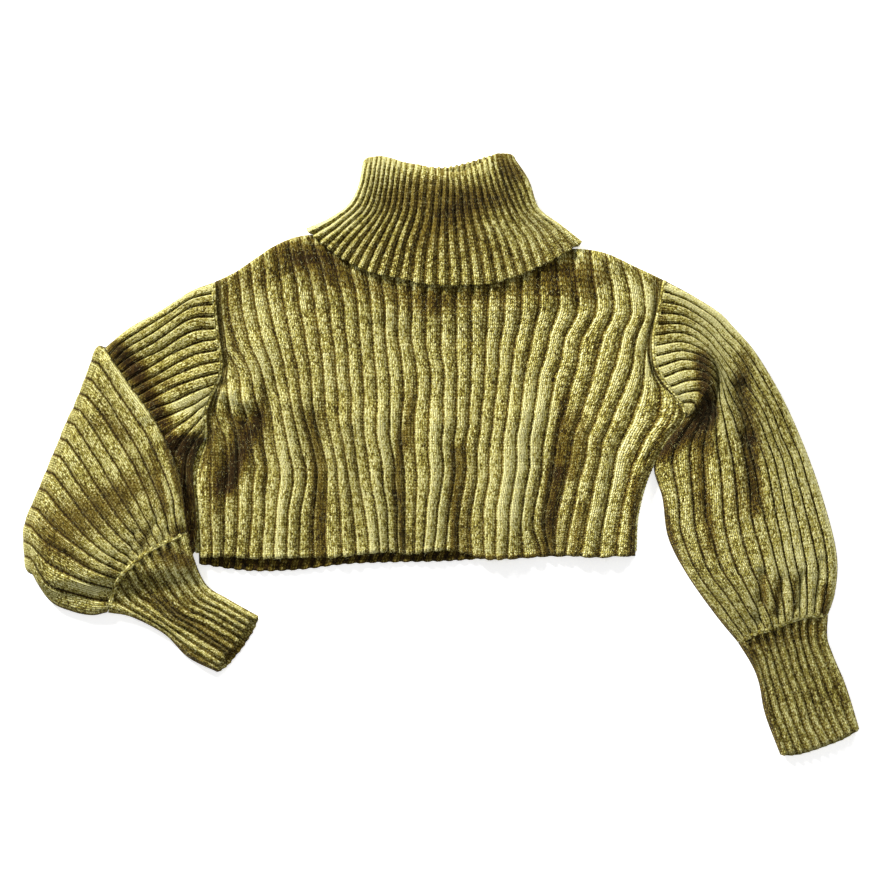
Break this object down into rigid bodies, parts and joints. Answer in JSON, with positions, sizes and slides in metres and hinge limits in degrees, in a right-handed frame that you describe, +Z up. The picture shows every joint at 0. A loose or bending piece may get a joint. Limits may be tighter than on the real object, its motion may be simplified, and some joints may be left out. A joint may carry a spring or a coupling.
{
  "type": "cropped knit sweater",
  "caption": "Cropped rib-knit sweater laid flat, with a folded roll collar, full balloon sleeves and long ribbed cuffs, one sleeve folded back over itself.",
  "frame": {"origin": "middle of the garment's outline, on the surface it lies on", "axes": "+X across the garment to the right as seen from above with the collar up, +Y up towards the collar, +Z up out of the surface, towards the front of the garment"},
  "size_m": [0.8772, 0.6318, 0.025],
  "materials": {
    "olive_wool": "chunky marled olive wool, ribbed, slightly fuzzy"
  },
  "bodies": {
    "root": {"back_panel": "olive_wool", "front_panel": "olive_wool", "collar": "olive_wool", "sleeve_left": "olive_wool", "sleeve_right": "olive_wool", "cuff_left": "olive_wool", "cuff_right": "olive_wool"}
  },
  "joints": []
}
